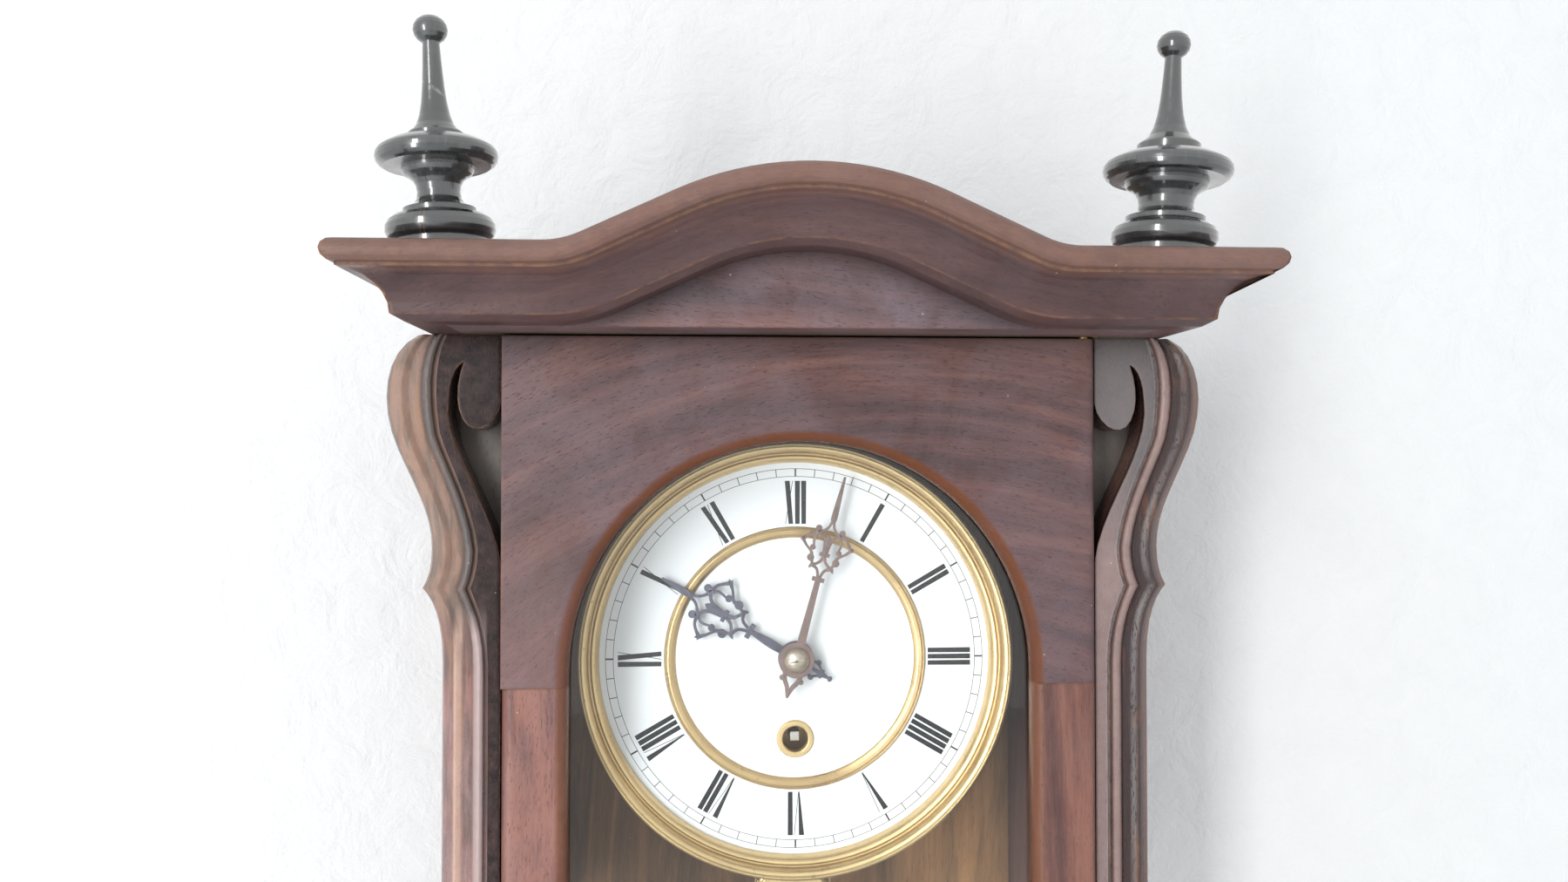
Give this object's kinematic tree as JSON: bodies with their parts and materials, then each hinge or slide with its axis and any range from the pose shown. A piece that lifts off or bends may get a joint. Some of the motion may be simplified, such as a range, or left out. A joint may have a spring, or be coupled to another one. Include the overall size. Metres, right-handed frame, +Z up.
{
  "type": "regulator wall clock",
  "caption": "Weight-driven wall clock in a tall glazed case with an arched cornice, turned finials, pierced scroll pilasters, an enamel dial in a brass bezel and a pendulum.",
  "frame": {"origin": "centre of the hanging eye, in the plane of the wall", "axes": "+Z up, +X to the right seen from the front, +Y into the wall"},
  "size_m": [0.333, 0.209, 0.987],
  "materials": {
    "show_wood": "polished, worn, with a dusty bloom",
    "door_wood": "polished, figured",
    "carcass_wood": "stained",
    "interior_wood": "stained, figured",
    "rod_wood": "varnished",
    "ebonised_wood": "ebonised, satin",
    "brass": "matte lacquer",
    "steel": "satin",
    "browned_steel": "rusted brown",
    "blued_steel": "blued",
    "iron": "painted",
    "enamel": "vitreous enamel",
    "glass": "clear, old",
    "gut": "gut line"
  },
  "bodies": {
    "case": {"backboard": "interior_wood", "side_frames": "carcass_wood", "side_glasses": "glass", "case_top": "carcass_wood", "bottom_board": "carcass_wood", "cornice_front": "show_wood", "cornice_returns": "show_wood", "tympanum": "show_wood", "head_blocks": "carcass_wood", "left_pilaster": "show_wood", "right_pilaster": "show_wood", "finials": "ebonised_wood", "base_moulding": "show_wood", "apron": "show_wood", "turned_drops": "ebonised_wood", "hanger_plate": "steel", "case_screws": "steel", "movement_bracket": "iron", "beat_scale": "enamel", "back_plate": "brass", "front_plate": "brass", "plate_pillars": "brass", "dial_plate": "brass", "chapter_ring": "enamel", "centre_disc": "enamel", "inner_ring": "brass", "bezel": "brass", "winding_grommet": "brass", "hinge_sockets": "brass", "gut_line": "gut"},
    "door": {"door_head": "door_wood", "door_left_stile": "door_wood", "door_right_stile": "door_wood", "door_bottom_rail": "door_wood", "door_glass": "glass", "hinge_pins": "brass"},
    "latch": {"latch": "brass"},
    "minute_hand": {"centre_wheel": "brass", "cannon_pinion": "steel", "minute_hand": "browned_steel", "hand_nut": "steel"},
    "minute_wheel": {"minute_wheel": "brass"},
    "hour_hand": {"hour_wheel": "brass", "hour_hand": "blued_steel"},
    "great_wheel": {"great_wheel": "brass"},
    "click": {"click": "steel"},
    "third_wheel": {"third_wheel": "brass"},
    "escape_wheel": {"escape_wheel": "brass"},
    "pallets": {"pallets": "steel"},
    "winding_drum": {"winding_drum": "brass", "gut_winding": "gut"},
    "pendulum": {"pendulum_rod": "rod_wood", "suspension_spring": "steel", "rating_screw": "steel"},
    "bob": {"bob": "brass"},
    "rating_nut": {"rating_nut": "brass"},
    "weight": {"weight": "brass", "stirrup": "brass", "gut_loop": "gut"},
    "pulley": {"pulley": "brass"}
  },
  "joints": [
    {"name": "door_hinge", "type": "hinge", "parent": "case", "child": "door", "pos_m": [0.1122, -0.1448, -0.4], "axis": [0, 0, 1], "range_deg": [0, 95]},
    {"name": "latch_turn", "type": "hinge", "parent": "door", "child": "latch", "pos_m": [-0.1001, -0.13, -0.385], "axis": [0, -1, 0], "range_deg": [0, 90]},
    {"name": "minute_hand_turn", "type": "hinge", "parent": "case", "child": "minute_hand", "pos_m": [0, -0.111, -0.15], "axis": [0, 1, 0], "continuous": true},
    {"name": "hour_hand_turn", "type": "hinge", "parent": "case", "child": "hour_hand", "pos_m": [0, -0.107, -0.15], "axis": [0, 1, 0], "continuous": true},
    {"name": "minute_wheel_turn", "type": "hinge", "parent": "case", "child": "minute_wheel", "pos_m": [0.012, -0.087, -0.15], "axis": [0, 1, 0], "continuous": true},
    {"name": "great_wheel_turn", "type": "hinge", "parent": "case", "child": "great_wheel", "pos_m": [0, -0.055, -0.1845], "axis": [0, 1, 0], "continuous": true},
    {"name": "click_lift", "type": "hinge", "parent": "great_wheel", "child": "click", "pos_m": [0.013, -0.058, -0.188], "axis": [0, 1, 0], "range_deg": [0, 8]},
    {"name": "third_wheel_turn", "type": "hinge", "parent": "case", "child": "third_wheel", "pos_m": [0.012, -0.068, -0.13156], "axis": [0, 1, 0], "continuous": true},
    {"name": "escape_wheel_turn", "type": "hinge", "parent": "case", "child": "escape_wheel", "pos_m": [0, -0.077, -0.12068], "axis": [0, 1, 0], "continuous": true},
    {"name": "weight_drop", "type": "slide", "parent": "case", "child": "weight", "axis": [0, 0, 1], "range_m": [-0.33, 0], "deforming": ["gut_line"]},
    {"name": "winding_drum_turn", "type": "hinge", "parent": "case", "child": "winding_drum", "pos_m": [0, -0.07, -0.1845], "axis": [0, 1, 0], "range_deg": [-3850, 1]},
    {"name": "pulley_turn", "type": "hinge", "parent": "weight", "child": "pulley", "pos_m": [0, -0.0792, -0.265], "axis": [0, 1, 0], "range_deg": [-1120, 1]},
    {"name": "pendulum_swing", "type": "hinge", "parent": "case", "child": "pendulum", "pos_m": [0, -0.028, -0.10229], "axis": [0, 1, 0], "range_deg": [-2.5, 2.5]},
    {"name": "pallets_rock", "type": "hinge", "parent": "case", "child": "pallets", "pos_m": [0, -0.077, -0.10229], "axis": [0, 1, 0], "range_deg": [-2.6, 2.6]},
    {"name": "bob_slide", "type": "slide", "parent": "pendulum", "child": "bob", "axis": [0, 0, 1], "range_m": [-0.003, 0.003]},
    {"name": "rating_nut_turn", "type": "hinge", "parent": "bob", "child": "rating_nut", "pos_m": [0, -0.028, -0.71359], "axis": [0, 0, 1], "range_deg": [-2170, 2170]}
  ],
  "couplings": [
    {"joint": "hour_hand_turn", "follows": "minute_hand_turn", "ratio": 0.083333},
    {"joint": "minute_wheel_turn", "follows": "minute_hand_turn", "ratio": -0.33333},
    {"joint": "great_wheel_turn", "follows": "minute_hand_turn", "ratio": -0.055556},
    {"joint": "third_wheel_turn", "follows": "minute_hand_turn", "ratio": -10},
    {"joint": "escape_wheel_turn", "follows": "minute_hand_turn", "ratio": 80},
    {"joint": "winding_drum_turn", "follows": "weight_drop", "rad_per_m": 203.05},
    {"joint": "pulley_turn", "follows": "weight_drop", "rad_per_m": 58.824},
    {"joint": "pallets_rock", "follows": "pendulum_swing", "ratio": 1},
    {"joint": "rating_nut_turn", "follows": "bob_slide", "rad_per_m": -12566}
  ]
}
